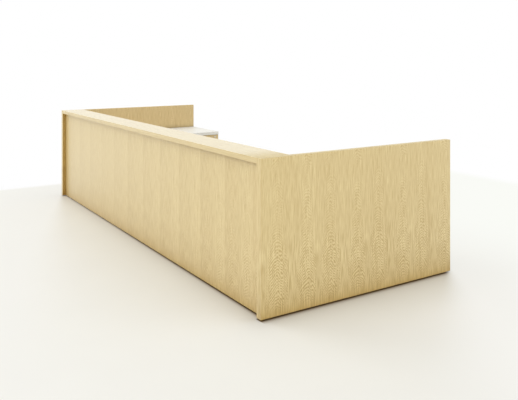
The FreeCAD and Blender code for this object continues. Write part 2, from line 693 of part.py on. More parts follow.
def drawer(side, name, low, high, body_low, body_high, cabinet_channels):
    """A veneered front, a folded steel body with its runners, a pull and the channels that carry it."""
    front = f"{name}_drawer_front_{side}"
    y = (f"{PEDESTAL_Y} + drawer_reveal", f"{REAR_Y} - drawer_reveal")
    board(front, outward(side, FRONT_OUT, FRONT_IN), y, (low, high), True)

    x = outward(side, FRONT_IN, f"{FRONT_IN} + body_length")
    hollow_x = outward(side, f"{FRONT_IN} + body_sheet", f"{FRONT_IN} + body_length - body_sheet")
    y = (f"{PEDESTAL_MID_Y} - {BODY_HALF_WIDTH}", f"{PEDESTAL_MID_Y} + {BODY_HALF_WIDTH}")
    hollow_y = (f"{y[0]} + body_sheet", f"{y[1]} - body_sheet")
    fold = block("body_blank", x, y, (body_low, body_high))
    hollow = block("body_hollow", hollow_x, hollow_y, (f"{body_low} + body_sheet", f"{body_high} + body_sheet"))
    tray = cut("body_tray", fold, [hollow])

    centre = f"({body_low} + slide_lift + slide_height / 2)"
    step = "(slide_sheet + slide_play)"
    shells = 2 if name == "file" else 1
    runner_gap = f"({shells} * {step})"
    runner_height = f"slide_height - 2 * {runner_gap}"
    slide_x = outward(side, f"{CASE_OUT} + slide_end_gap", f"{CASE_OUT} + slide_end_gap + slide_length")
    runners, middles = [], []
    for sign in (-1, 1):
        cabinet_channels.append(
            slide_channel("cabinet_channel", slide_x, sign, "slide_space - slide_play", "0", centre, "slide_height")
        )
        if name == "file":
            depth = f"slide_space - slide_play - {step}"
            height = f"slide_height - 2 * {step}"
            middles.append(slide_channel("middle_channel", slide_x, sign, depth, step, centre, height))
        outer = f"({PEDESTAL_MID_Y} + ({sign}) * ({CASE_HALF_WIDTH} - {runner_gap}))"
        inner = f"({PEDESTAL_MID_Y} + ({sign}) * {BODY_HALF_WIDTH})"
        runner_y = (outer, inner) if sign < 0 else (inner, outer)
        runner_z = (f"{centre} - ({runner_height}) / 2", f"{centre} + ({runner_height}) / 2")
        runners.append(block("runner", slide_x, runner_y, runner_z))
    keep(joined(f"{name}_drawer_body_{side}", [tray] + runners))
    if middles:
        group(f"file_slide_{side}", middles)
    pull(side, name, f"(({low} + {high}) / 2)")


def pull(side, name, height):
    """A round bar on two posts."""
    away = -SIDES[side]
    face = mirrored(side, FRONT_OUT)
    axis = mirrored(side, f"{FRONT_OUT} - pull_standoff")
    bar = rod("pull_bar", (axis, PEDESTAL_MID_Y, height), "y", "pull_diameter", "pull_length")
    posts = [
        rod("pull_post", (face, f"{PEDESTAL_MID_Y} + ({sign}) * pull_spacing / 2", height),
            "x", "pull_post_diameter", "pull_standoff", away)
        for sign in (-1, 1)
    ]
    keep(joined(f"{name}_drawer_pull_{side}", [bar] + posts))


def lock(side, strikes):
    """A lock in the upper drawer's front, whose tail turns up behind a strike under the worksurface."""
    inward = SIDES[side]
    y = f"({PEDESTAL_MID_Y} + lock_offset)"
    z = f"({DESK_UNDER} - drawer_gap - lock_drop)"
    face = (mirrored(side, FRONT_OUT), y, z)
    drill(f"upper_drawer_front_{side}", face, "x", "lock_diameter + 2 * lock_play", "3 * drawer_front_thickness")
    plug_length = "drawer_front_thickness + lock_tail_gap + lock_tail_thickness"
    plug = rod("lock_barrel", face, "x", "lock_diameter", plug_length, inward)
    rim = rod("lock_rim", face, "x", "lock_rim_diameter", "lock_rim_height", -inward)
    tail_x = outward(side, f"{FRONT_IN} + lock_tail_gap", f"{FRONT_IN} + lock_tail_gap + lock_tail_thickness")
    tail_z = (f"{z} - lock_tail_width / 2", f"{z} + lock_tail_width / 2")
    tail = block("lock_tail", tail_x, (f"{y} - lock_tail_length", y), tail_z)
    key_x = outward(side, f"{FRONT_OUT} - 2 * lock_rim_height", f"{FRONT_OUT} - lock_rim_height + lock_key_depth")
    key_y = (f"{y} - lock_key_width / 2", f"{y} + lock_key_width / 2")
    key_z = (f"{z} - lock_diameter / 4", f"{z} + lock_diameter / 4")
    keep(cut(f"lock_plug_{side}", joined("lock_blank", [plug, rim, tail]), [block("keyway", key_x, key_y, key_z)]))

    strike_y = (f"{y} - strike_width / 2", f"{y} + strike_width / 2")
    near = f"{FRONT_IN} + strike_gap"
    leaf = outward(side, near, f"{near} + strike_thickness")
    flange = outward(side, near, f"{near} + strike_flange")
    strikes.append(joined("strike", [
        block("strike_leaf", leaf, strike_y, (f"{DESK_UNDER} - strike_drop", DESK_UNDER)),
        block("strike_flange_plate", flange, strike_y, (f"{DESK_UNDER} - strike_thickness", DESK_UNDER)),
    ]))


def pedestals():
    """Both pedestals, mirrored."""
    strikes = []
    for side in SIDES:
        pedestal_case(side)
        channels = []
        for row in drawer_rows():
            drawer(side, *row, channels)
        group(f"pedestal_{side}_channels", channels)
        lock(side, strikes)
    group("lock_strikes", strikes)


def check_and_write():
    """Stop on any failed object or unsound shape, then write each sub-part."""
    doc.recompute()
    failed = [thing.Name for thing in doc.Objects if {"Invalid", "Error"} & set(thing.State)]
    unsound = [thing.Label for thing in subparts if thing.Shape.isNull() or not thing.Shape.isValid()]
    if failed or unsound:
        raise RuntimeError(f"failed objects {failed}, unsound shapes {unsound}")
    os.makedirs("parts", exist_ok=True)
    for thing in subparts:
        thing.Shape.exportStep(f"parts/{thing.Label}.step")
        print(thing.Label, len(thing.Shape.Solids), round(thing.Shape.Volume))


fill_sheet()
for half in SIDES:
    end_panel(half)
    transaction_top(half)
    worksurfaces(half)
front_panels()
gable()
join_front()
join_tops()
desk_glides()
bracket_sets()
rails()
for half in SIDES:
    cable_tray(half)
grommets()
pedestals()
finish_boards()
group("panel_dowels", dowels)
group("cam_fittings", cam_fittings)
group("draw_bolts", draw_bolts)
group("levelling_glides", glides)
group("bracket_screws", screws)
check_and_write()
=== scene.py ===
import json
import math
from types import SimpleNamespace

import bpy
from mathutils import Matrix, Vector

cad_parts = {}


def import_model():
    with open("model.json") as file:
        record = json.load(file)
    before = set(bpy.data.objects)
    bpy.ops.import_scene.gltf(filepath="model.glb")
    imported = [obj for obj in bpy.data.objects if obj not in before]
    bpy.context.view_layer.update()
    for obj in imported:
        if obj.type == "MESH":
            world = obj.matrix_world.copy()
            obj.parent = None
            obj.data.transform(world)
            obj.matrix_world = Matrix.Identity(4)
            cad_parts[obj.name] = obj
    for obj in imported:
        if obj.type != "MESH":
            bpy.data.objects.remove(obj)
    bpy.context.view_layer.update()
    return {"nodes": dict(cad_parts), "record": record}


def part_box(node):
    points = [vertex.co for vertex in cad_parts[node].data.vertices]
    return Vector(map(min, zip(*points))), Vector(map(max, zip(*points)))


# A reception desk: its finishes, and the studio round it.
# Metres, in the frame of the CAD: -Y faces the visitor, +Z is up, the floor is at Z = 0.

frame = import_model()
nodes = frame["nodes"]
slots = {row["node"]: row["material_slot"] for row in frame["record"]["subparts"]}

AXES = "XYZ"
INCH = 0.0254


def rgb(red, green, blue):
    return (red, green, blue, 1.0)


WHITE = rgb(1.0, 1.0, 1.0)


class Tree:
    """The nodes of a material or of the world, with arithmetic on their sockets."""

    def __init__(self, tree):
        self.tree = tree

    def node(self, kind, inputs=None, **settings):
        made = self.tree.nodes.new("ShaderNode" + kind)
        for name, value in settings.items():
            setattr(made, name, value)
        for name, value in (inputs or {}).items():
            self.join(value, made.inputs[name])
        return made

    def join(self, value, socket):
        if isinstance(value, bpy.types.NodeSocket):
            self.tree.links.new(value, socket)
        else:
            socket.default_value = value

    def math(self, operation, *values, clamp=False):
        made = self.node("Math", dict(enumerate(values)), operation=operation, use_clamp=clamp)
        return made.outputs[0]

    def add(self, *values):
        total = values[0]
        for value in values[1:]:
            total = self.math("ADD", total, value)
        return total

    def sub(self, a, b):
        return self.math("SUBTRACT", a, b)

    def mul(self, *values):
        total = values[0]
        for value in values[1:]:
            total = self.math("MULTIPLY", total, value)
        return total

    def over(self, a, b):
        return self.math("DIVIDE", a, b)

    def most(self, a, b):
        return self.math("MAXIMUM", a, b)

    def least(self, a, b):
        return self.math("MINIMUM", a, b)

    def above(self, a, b):
        return self.math("GREATER_THAN", a, b)

    def below(self, a, b):
        return self.math("LESS_THAN", a, b)

    def size(self, value):
        return self.math("ABSOLUTE", value)

    def decay(self, distance, reach):
        """One at no distance, and 1/e at each reach less."""
        return self.math("EXPONENT", self.over(distance, -reach))

    def fall(self, distance, reach, power):
        """One at no distance, with a rounder start than a decay has."""
        shaped = self.math("POWER", self.over(distance, reach), power)
        return self.math("EXPONENT", self.mul(shaped, -1.0))

    def pick(self, share, no, yes):
        """A number between two others."""
        return self.add(no, self.mul(share, self.sub(yes, no)))

    def smooth(self, value, low, high, start=0.0, end=1.0):
        ends = {"From Min": low, "From Max": high, "To Min": start, "To Max": end}
        made = self.node("MapRange", {"Value": value, **ends}, interpolation_type="SMOOTHSTEP")
        return made.outputs["Result"]

    def colour(self, share, no, yes, blend="MIX"):
        """A colour between two others."""
        made = self.node("Mix", data_type="RGBA", blend_type=blend)
        for socket, value in ((0, share), (6, no), (7, yes)):
            self.join(value, made.inputs[socket])
        return made.outputs[2]

    def tint(self, share, colour, by):
        return self.colour(share, colour, by, "MULTIPLY")

    def shader_mix(self, share, no, yes):
        return self.node("MixShader", {0: share, 1: no, 2: yes}).outputs[0]

    def split(self, vector):
        return self.node("SeparateXYZ", {"Vector": vector}).outputs

    def point(self, x, y, z):
        return self.node("CombineXYZ", {"X": x, "Y": y, "Z": z}).outputs[0]

    def noise(self, vector, per_metre, detail=1.0, roughness=0.5):
        ways = {"Scale": per_metre, "Detail": detail, "Roughness": roughness}
        return self.node("TexNoise", {"Vector": vector, **ways}).outputs["Fac"]

    def stretched(self, rates, across, along, layer, detail=1.0, roughness=0.5):
        """Noise whose rates across and along the grain differ, both per metre."""
        at = self.point(self.mul(across, rates[0]), self.mul(along, rates[1]), layer)
        return self.noise(at, 1.0, detail, roughness)

    def wander(self, *place, **ways):
        """Stretched noise about zero."""
        return self.sub(self.stretched(*place, **ways), 0.5)

    def random(self, value):
        return self.node("TexWhiteNoise", {"W": value}, noise_dimensions="1D").outputs["Value"]


class Look(Tree):
    """A material, with its coordinates on the object."""

    def __init__(self, name, **sockets):
        self.material = bpy.data.materials.new(name)
        self.material.use_nodes = True
        super().__init__(self.material.node_tree)
        self.shader = self.tree.nodes["Principled BSDF"]
        for socket, value in sockets.items():
            self.set(socket.replace("_", " "), value)
        coordinates = self.node("TexCoord").outputs
        self.object = coordinates["Object"]
        self.normal = coordinates["Normal"]

    def set(self, socket, value):
        self.join(value, self.shader.inputs[socket])

    def bump(self, height, depth):
        made = self.node("Bump", {"Height": height, "Distance": depth, "Strength": 1.0})
        self.set("Normal", made.outputs["Normal"])


# Veneer: its colours, and the tints that paint shade and reflection onto it

VENEER_PALE = rgb(0.845, 0.694, 0.358)
VENEER_RING = rgb(0.588, 0.418, 0.160)
MIDDLE_TONE = 0.42
# Painted shade: warmer and darker low on the boards, fading with height above the floor, less on
# edges
TOE_SHADE_TINT = rgb(0.86, 0.75, 0.46)
TOE_REACH = 0.075
TOE_ON_EDGES = 0.4
# Painted shade on the inner faces of the upright boards: deep beside the recessed front, lighter
# behind it
RECESS_SHADE_TINT = rgb(0.74, 0.62, 0.34)
INNER_SHADE_TINT = rgb(0.85, 0.80, 0.75)
# Painted shade on the front just under the ledge, stronger toward the near end
UNDER_LEDGE_SHADE_TINT = rgb(0.84, 0.82, 0.76)
UNDER_LEDGE = (0.990, 1.016)
UNDER_NEAR = (0.0, 2.0)
# Painted shade on the staff side just above the worksurface
WORKTOP_SHADE_TINT = rgb(0.50, 0.50, 0.48)
WORKTOP_SHADE_REACH = 0.018
# Painted reflection on the tops: a little less red all along, and at the near end darker and with
# less sheen
TOP_REFLECTION_TINT = rgb(0.965, 1.0, 1.0)
NEAR_TOP_REFLECTION_SHADE = rgb(0.88, 0.87, 0.90)
NEAR_TOP_REFLECTION_SPAN = (1.90, 2.25)
SHEEN_LOST = 0.85
CALM_SPAN = (-1.9, 1.7)
LEDGE_EDGE_FIGURE = 0.55
WORK_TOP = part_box("worksurface_return_left")[1][2]
RECESS_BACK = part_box("front_panel_1")[0][1] + 0.001
END_MIDDLE = sum(corner[0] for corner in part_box("end_panel_right")) / 2

# Least part of a normal along an axis for a surface to face that way
FACING = 0.7

# The veneer's figure: rates per metre across and along the grain, and weights in the tone

DRIFT_RATES = (5.0, 1.7)
DRIFT_REACH = 0.045
RIPPLE_RATES = (30.0, 9.0)
RIPPLE_REACH = 0.016
RIPPLE_OF_RINGS = 0.060
LINE_RATES = (220.0, 8.0)
LINE_WEIGHT = 1.85
FIBRE_RATES = (420.0, 14.0)
FIBRE_WEIGHT = 0.9
PORE_RATES = (1500.0, 70.0)
PORE_SPAN = (0.66, 0.78)
PORE_WEIGHT = 0.12
BAND_RATES = (26.0, 0.9)
BAND_WEIGHT = 0.11
SWATH_RATES = (8.0, 0.8)
SWATH_WEIGHT = 0.24
LEAF_TONE = 0.05

# The arches. Pairs are for the first and second slice, or for the log above its butt and in it

HEART_PLACES = (0.07, 0.16)
TIP_RADII = (0.003, 0.007)
ARCH_SLOPE = 0.74
ARCH_SPREAD = 5.0
LOG_TAPER = 0.20
RING_SPACING = 0.0044
RING_UNEVEN_RATE = 75.0
RING_UNEVEN = 1.2
RING_SHARPNESS = 1.4
RING_MEAN = 0.44
RING_WEIGHT = 1.35
BUTT_SPAN = (0.66, 0.24)
BUTT_SHARE = 0.6
BUTT_STRENGTH = 1.05
HEART_WIDTHS = (0.046, 0.085)
HEART_EDGE = (0.55, 1.35, 1.0, 0.0)
STRENGTH_RATES = (4.0, 5.0)
STRENGTH_SPAN = (0.38, 0.64, 0.03, 0.36)
BROKEN_RATES = (90.0, 60.0)
BROKEN_SPAN = (0.38, 0.60, 0.20, 1.40)
CUT_OFF = (0.03, 0.12)


def place_in_leaf(look, thin, grain, leaf, start, seed):
    """Where a point is on its board, and in its leaf of the veneer.

    Two slices of the log take turns, and each pair of leaves repeats the last with little change.
    """
    cross = next(axis for axis in AXES if axis not in (thin, grain))
    place = dict(zip(AXES, look.split(look.object)))
    normal = dict(zip(AXES, look.split(look.normal)))
    on_face = look.above(look.size(normal[thin]), FACING)
    on_end = look.above(look.size(normal[grain]), FACING)
    across = look.pick(on_face, place[thin], place[cross])
    along = look.pick(on_end, place[grain], place[cross])
    leaf_place = look.over(look.sub(across, start), leaf)
    number = look.math("FLOOR", leaf_place)
    second = look.math("MODULO", look.size(number), 2.0)
    in_pair = look.math("FRACT", look.mul(leaf_place, 0.5))
    from_middle = look.mul(look.sub(look.sub(leaf_place, number), 0.5), leaf)
    layer = look.add(look.mul(second, 3.7), look.mul(number, 0.05), seed)
    return SimpleNamespace(
        place=place,
        normal=normal,
        on_face=on_face,
        across=across,
        along=along,
        leaf=leaf,
        number=number,
        second=second,
        in_pair=in_pair,
        from_middle=from_middle,
        layer=layer,
    )


def arches(look, at, butt):
    """Rings of the log where the slice cuts them: arches in a leaf's heart, wide near the butt."""
    in_leaf = (at.from_middle, at.along)
    drift = look.wander(DRIFT_RATES, *in_leaf, at.layer, detail=2.0)
    ripple = look.wander(RIPPLE_RATES, *in_leaf, look.add(at.layer, 7.0), detail=2.0)
    heart = look.mul(look.pick(at.second, *HEART_PLACES), at.leaf)
    side = look.add(
        look.sub(at.from_middle, heart),
        look.mul(drift, DRIFT_REACH),
        look.mul(ripple, RIPPLE_REACH),
    )
    square = look.mul(side, side)
    tip = look.pick(at.second, *TIP_RADII)
    flank = look.math("SQRT", look.add(square, look.mul(tip, tip)))
    arch = look.add(look.mul(flank, ARCH_SLOPE), look.mul(square, ARCH_SPREAD))
    radius = look.mul(look.add(arch, at.along, look.mul(ripple, RIPPLE_OF_RINGS)), LOG_TAPER)
    uneven = look.noise(look.point(look.mul(radius, RING_UNEVEN_RATE), at.layer, 0.0), 1.0)
    rings = look.add(look.over(radius, RING_SPACING), look.mul(uneven, RING_UNEVEN))
    wave = look.math("SINE", look.mul(rings, 2 * math.pi))
    ring = look.math("POWER", look.add(look.mul(wave, 0.5), 0.5), RING_SHARPNESS)

    width = look.pick(butt, *HEART_WIDTHS)
    heartwood = look.smooth(look.over(look.size(side), width), *HEART_EDGE)
    strength = look.stretched(STRENGTH_RATES, *in_leaf, look.add(at.layer, 3.0))
    strength = look.smooth(strength, *STRENGTH_SPAN)
    in_butt = look.add(look.mul(strength, BUTT_SHARE), BUTT_STRENGTH)
    strength = look.pick(butt, strength, in_butt)
    broken = look.smooth(look.stretched(BROKEN_RATES, *in_leaf, at.layer), *BROKEN_SPAN)
    whole = look.smooth(at.along, *CUT_OFF)
    return look.mul(look.sub(ring, RING_MEAN), strength, broken, whole, heartwood, at.on_face)


def paint_shade(look, wood, at, thin):
    """Wood with painted shade: warmer and deeper near the floor and, on the upright boards, on the
    inner faces, where they flank the recessed front, close under the ledge and just above the
    worksurface."""
    # Painted shade, warmer and darker toward the floor
    low = look.decay(at.place["Z"], TOE_REACH)
    low = look.mul(low, look.pick(at.on_face, TOE_ON_EDGES, 1.0))
    wood = look.tint(low, wood, TOE_SHADE_TINT)
    if thin == "Z":
        return wood
    if thin == "X":
        # Painted shade on the inner faces, deeper beside the recessed front
        recess = look.below(at.place["Y"], RECESS_BACK)
        inner = look.mul(look.below(look.size(at.place["X"]), END_MIDDLE), at.on_face)
        wood = look.tint(inner, wood, look.colour(recess, INNER_SHADE_TINT, RECESS_SHADE_TINT))
        staff_side = look.mul(inner, look.sub(1.0, recess))
    else:
        # Painted shade on the front just under the ledge
        near = look.smooth(at.place["X"], *UNDER_NEAR)
        under = look.mul(look.smooth(at.place["Z"], *UNDER_LEDGE), near)
        wood = look.tint(under, wood, UNDER_LEDGE_SHADE_TINT)
        staff_side = look.above(at.normal["Y"], FACING)
    # Painted shade on the staff side just above the worksurface
    height = look.sub(at.place["Z"], WORK_TOP)
    worktop_shade = look.mul(look.decay(height, WORKTOP_SHADE_REACH), look.above(height, 0.0))
    return look.tint(look.mul(worktop_shade, staff_side), wood, WORKTOP_SHADE_TINT)


def veneer(
    name,
    thin,
    grain,
    leaf,
    start,
    seed,
    figure=1.0,
    stripe=1.0,
    fine=LINE_RATES,
    sweep=0.0,
    calm=1.0,
    lacquer=0.6,
    paints_top_reflection=False,
):
    """Plain-sliced veneer in leaves on a board's faces, with straight-grained edge bands.

    The board is thin along one axis, and its grain runs along another. A leaf starts at a place
    across the grain. The tone sweeps across each pair of leaves, the figure calms toward the far
    end, and the wood carries painted shade. Where asked, the tops carry a painted reflection: a
    slight tint, and at the near end a painted darkening with the lacquer's sheen taken away.
    """
    look = Look(name, Coat_Roughness=0.22)
    at = place_in_leaf(look, thin, grain, leaf, start, seed)

    # Arches, lines along the grain, fibres, short pores, and bands of two widths
    butt = look.smooth(at.along, *BUTT_SPAN)
    lively = look.pick(butt, 1.0, 1.0 + figure)
    in_leaf = (at.from_middle, at.along, at.layer)
    on_board = (at.across, at.along, at.layer)
    ring = arches(look, at, butt)
    line = look.wander(fine, *in_leaf, detail=2.0, roughness=0.6)
    fibre = look.wander(FIBRE_RATES, *on_board, detail=3.0, roughness=0.65)
    pore = look.smooth(look.stretched(PORE_RATES, *on_board), *PORE_SPAN)
    band = look.wander(BAND_RATES, *in_leaf)
    swath = look.wander(SWATH_RATES, at.across, at.along, seed)

    # Tone: leaf by leaf, and across each pair of leaves
    own = look.sub(look.random(look.add(at.number, seed)), 0.5)
    tone = look.add(look.mul(own, LEAF_TONE), look.mul(look.sub(0.5, at.in_pair), sweep))
    marks = look.add(
        look.mul(ring, RING_WEIGHT * figure),
        look.mul(line, lively, LINE_WEIGHT),
        look.mul(fibre, FIBRE_WEIGHT),
        look.mul(pore, PORE_WEIGHT),
        look.mul(band, BAND_WEIGHT * stripe),
        look.mul(swath, lively, SWATH_WEIGHT * stripe),
        look.mul(tone, at.on_face),
    )
    if calm < 1:
        marks = look.mul(marks, look.smooth(at.place["X"], *CALM_SPAN, calm, 1.0))
    if thin == "Z":
        marks = look.mul(marks, look.pick(at.on_face, LEDGE_EDGE_FIGURE, 1.0))
    dark = look.math("ADD", marks, MIDDLE_TONE, clamp=True)
    wood = paint_shade(look, look.colour(dark, VENEER_PALE, VENEER_RING), at, thin)

    look.set("Coat Weight", lacquer)
    # Painted reflection on the tops: a slight tint, and at the near end a painted darkening with
    # less sheen
    if paints_top_reflection:
        upward = look.above(at.normal["Z"], FACING)
        wood = look.tint(upward, wood, TOP_REFLECTION_TINT)
        painted_near_top = look.mul(upward, look.smooth(at.place["X"], *NEAR_TOP_REFLECTION_SPAN))
        wood = look.tint(painted_near_top, wood, NEAR_TOP_REFLECTION_SHADE)
        sheen = look.sub(1.0, look.mul(painted_near_top, SHEEN_LOST))
        look.set("Coat Weight", look.mul(sheen, lacquer))
        look.set("Specular IOR Level", look.mul(sheen, 0.5))
    look.set("Base Color", wood)
    look.set("Roughness", look.add(0.36, look.mul(fibre, 0.12), look.mul(pore, 0.1)))
    look.bump(look.sub(look.mul(fibre, 0.6), pore), depth=0.00004)
    return look.material


def laminate():
    """Pale high-pressure laminate with a fine suede texture."""
    look = Look("laminate_pale")
    cloud = look.noise(look.object, per_metre=9.0, detail=3.0)
    speck = look.noise(look.object, per_metre=900.0, detail=2.0, roughness=0.7)
    share = look.add(look.mul(cloud, 0.5), look.mul(speck, 0.5))
    low, high = rgb(0.755, 0.745, 0.685), rgb(0.835, 0.825, 0.775)
    look.set("Base Color", look.colour(share, low, high))
    look.set("Roughness", look.add(0.36, look.mul(speck, 0.16)))
    look.bump(speck, depth=0.00006)
    return look.material


def powder_coat(name, low, high, peel_rate, rough):
    """Baked powder paint: an orange peel with slightly lighter crests."""
    look = Look(name)
    peel = look.noise(look.object, peel_rate, detail=2.0)
    cloud = look.noise(look.object, per_metre=12.0, detail=2.0)
    share = look.add(look.mul(peel, 0.6), look.mul(cloud, 0.4))
    look.set("Base Color", look.colour(share, low, high))
    look.set("Roughness", look.add(rough, look.mul(peel, 0.14)))
    look.bump(peel, depth=0.00012)
    return look.material


def metal(name, low, high, rough, rates):
    """Plated metal, brushed along the axis whose rate is small."""
    look = Look(name, Metallic=1.0)
    brushed_at = look.node("Mapping", {"Vector": look.object, "Scale": rates}).outputs[0]
    streak = look.noise(brushed_at, 1.0, detail=3.0, roughness=0.6)
    cloud = look.noise(look.object, per_metre=35.0, detail=3.0)
    share = look.add(look.mul(streak, 0.55), look.mul(cloud, 0.45))
    look.set("Base Color", look.colour(share, low, high))
    look.set("Roughness", look.add(rough, look.mul(streak, 0.16)))
    look.bump(streak, depth=0.00003)
    return look.material


def plastic():
    """Moulded black plastic with a fine spark-eroded texture."""
    look = Look("plastic_black")
    spark = look.noise(look.object, per_metre=1400.0, detail=3.0, roughness=0.7)
    low, high = rgb(0.012, 0.012, 0.013), rgb(0.03, 0.03, 0.032)
    look.set("Base Color", look.colour(spark, low, high))
    look.set("Roughness", look.add(0.4, look.mul(spark, 0.2)))
    look.bump(spark, depth=0.00008)
    return look.material


def beech():
    """Turned beech with its short flecks."""
    look = Look("beech_dowel", Roughness=0.6)
    rates = (120.0, 700.0, 700.0)
    fleck_at = look.node("Mapping", {"Vector": look.object, "Scale": rates}).outputs[0]
    fleck = look.noise(fleck_at, 1.0, detail=3.0, roughness=0.6)
    pale, brown = rgb(0.60, 0.40, 0.22), rgb(0.44, 0.26, 0.13)
    look.set("Base Color", look.colour(fleck, pale, brown))
    look.bump(fleck, depth=0.00005)
    return look.material


plain_finishes = {
    "laminate": laminate(),
    "black_steel": powder_coat(
        "powder_black",
        rgb(0.018, 0.018, 0.019),
        rgb(0.045, 0.045, 0.047),
        peel_rate=700.0,
        rough=0.42,
    ),
    "drawer_steel": powder_coat(
        "powder_grey",
        rgb(0.30, 0.31, 0.32),
        rgb(0.40, 0.41, 0.42),
        peel_rate=900.0,
        rough=0.36,
    ),
    "nickel": metal(
        "nickel_satin",
        rgb(0.60, 0.58, 0.54),
        rgb(0.74, 0.72, 0.68),
        rough=0.22,
        rates=(900.0, 30.0, 900.0),
    ),
    "zinc": metal(
        "zinc_bright",
        rgb(0.58, 0.60, 0.63),
        rgb(0.76, 0.78, 0.80),
        rough=0.26,
        rates=(180.0, 180.0, 180.0),
    ),
    "black_plastic": plastic(),
    "beech": beech(),
}

upright_end = veneer(
    "veneer_end_panel",
    thin="X",
    grain="Z",
    leaf=9 * INCH,
    start=-36 * INCH,
    seed=11.0,
    paints_top_reflection=True,
)
upright_front = veneer(
    "veneer_front",
    thin="Y",
    grain="Z",
    leaf=7.5 * INCH,
    start=2.286 - 0.160,
    seed=4.0,
    figure=0.5,
    stripe=0.24,
    fine=(310.0, 11.0),
    sweep=0.19,
    calm=0.5,
)
lengthwise = veneer(
    "veneer_ledge",
    thin="Z",
    grain="X",
    leaf=5.2 * INCH,
    start=-0.9145,
    seed=23.0,
    figure=0.5,
    lacquer=0.8,
    paints_top_reflection=True,
)
upright_drawer = veneer(
    "veneer_drawer", thin="X", grain="Z", leaf=8 * INCH, start=0.5145, seed=31.0, figure=0.55
)
upright_case = veneer(
    "veneer_case", thin="Y", grain="Z", leaf=8 * INCH, start=0.0, seed=37.0, figure=0.55
)


def veneer_for(node):
    if node.startswith("end_panel") or node == "centre_gable":
        return upright_end
    if node.startswith("front_panel"):
        return upright_front
    if node.startswith("transaction_top") or node.endswith("_bottom"):
        return lengthwise
    if "_side_" in node:
        return upright_case
    return upright_drawer


for node, thing in nodes.items():
    slot = slots[node]
    material = veneer_for(node) if slot == "veneer" else plain_finishes[slot]
    thing.data.materials.clear()
    thing.data.materials.append(material)


# Floor: its colours, painted light to the right of the desk, and where it ends in white

END_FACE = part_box("end_panel_right")[1][0]
DESK_FRONT, DESK_REAR = (corner[1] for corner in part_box("end_panel_right"))
FLOOR_HALF = 30.0
FLOOR_GREY = rgb(0.757, 0.755, 0.722)
FLOOR_PALE = rgb(0.797, 0.796, 0.762)
# Painted light: the floor whiter to the right of the desk and toward its rear
FLOOR_RIGHT_LIGHT = rgb(0.860, 0.860, 0.840)
RIGHT_LIGHT_SPANS = ((2.4, 2.9), (-0.7, 0.5))
# Painted light past the corners of the desk, glowing for the camera
FLOOR_LIT = rgb(0.925, 0.915, 0.870)
FLOOR_LIT_REAR = rgb(0.985, 1.000, 0.955)
LIT_REAR_SPAN = (0.6, 2.6)
FLOOR_LEFT_END = (-2.92, -3.12)
FLOOR_REAR_END = (4.35, 4.75)

# The painted contact shadow that the floor shows under the desk, and the painted shade that the
# walls get from it

CONTACT_SHADOW_NEAR = rgb(0.14, 0.08, 0.02)
CONTACT_SHADOW_FAR = rgb(0.32, 0.19, 0.06)
CONTACT_SHADOW_WIDTH = (-2.6, 2.3, 0.6, 1.0)
CONTACT_SHADOW_DEPTH = (-2.6, 2.0, 0.4, 1.0)
CONTACT_SHADOW_SHARP = 1.2
CONTACT_SHADOW_SHARE = 0.8
CONTACT_SHADOW_SOFT = (0.110, 1.5)
CONTACT_SHADOW_FADES = (-1.2, 0.2)
BOUNCE_COLOUR = rgb(0.66, 0.65, 0.61)
# Painted shade in what the floor bounces, darker near the desk
SHADE_COLOUR = rgb(0.14, 0.06, 0.01)
SHADE_REACH = 0.32

# The painted contact shadow's reach to the left, right, front and rear of what stands just above
# the floor
CONTACT_SHADOW_REACHES = {
    "end_panel_left": (0.003, 0.005, 0.006, 0.006),
    "end_panel_right": (0.003, 0.023, 0.003, 0.006),
    "front_panel": (0.003, 0.003, 0.015, 0.010),
    "centre_gable": (0.010, 0.010, 0.010, 0.010),
    "pedestal_left": (0.012, 0.012, 0.012, 0.012),
    "pedestal_right": (0.012, 0.012, 0.012, 0.012),
}

# Painted light on the floor past two corners of the desk: softness at the corner and its growth,
# and share

BEHIND_SOFT = (0.05, 0.4)
BEHIND_SHORT = 0.6
BEHIND_SHARE = 0.75
LEFT_SOFT = (0.02, 0.1)
LEFT_SLANT = -0.33
LEFT_SHARE = 0.6


def outline_of(start):
    """Spans along X and Y of the nodes whose names start alike."""
    boxes = [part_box(node) for node in nodes if node.startswith(start)]
    return [(min(low[i] for low, _ in boxes), max(high[i] for _, high in boxes)) for i in (0, 1)]


def contact_shadow_and_shade(look, x, y, wide, deep):
    """The painted contact shadow where the desk all but touches the floor, and the wider painted
    shade round it.
    """
    contact_shadow = shade = 0.0
    for start, (left, right, front, rear) in CONTACT_SHADOW_REACHES.items():
        outline = outline_of(start)
        middle_x, middle_y = ((low + high) / 2 for low, high in outline)
        beside = []
        for at, middle, (low, high) in zip((x, y), (middle_x, middle_y), outline):
            from_middle = look.size(look.sub(at, middle))
            beside.append(look.most(look.sub(from_middle, (high - low) / 2), 0.0))
        distance = look.math("SQRT", look.add(*(look.mul(part, part) for part in beside)))
        reach_x = look.pick(look.above(x, middle_x), left, right)
        reach_y = look.pick(look.above(y, middle_y), front, rear)
        past_corner = look.above(look.least(*beside), 0.0)
        reach = look.pick(look.above(beside[1], 0.0), reach_x, reach_y)
        reach = look.pick(past_corner, reach, look.least(reach_x, reach_y))
        depth = look.add(
            look.mul(look.fall(distance, look.mul(reach, wide), CONTACT_SHADOW_SHARP), deep, CONTACT_SHADOW_SHARE),
            look.mul(look.fall(distance, *CONTACT_SHADOW_SOFT), 1 - CONTACT_SHADOW_SHARE),
        )
        contact_shadow = look.most(depth, contact_shadow)
        shade = look.most(look.decay(distance, SHADE_REACH), shade)
    return contact_shadow, shade


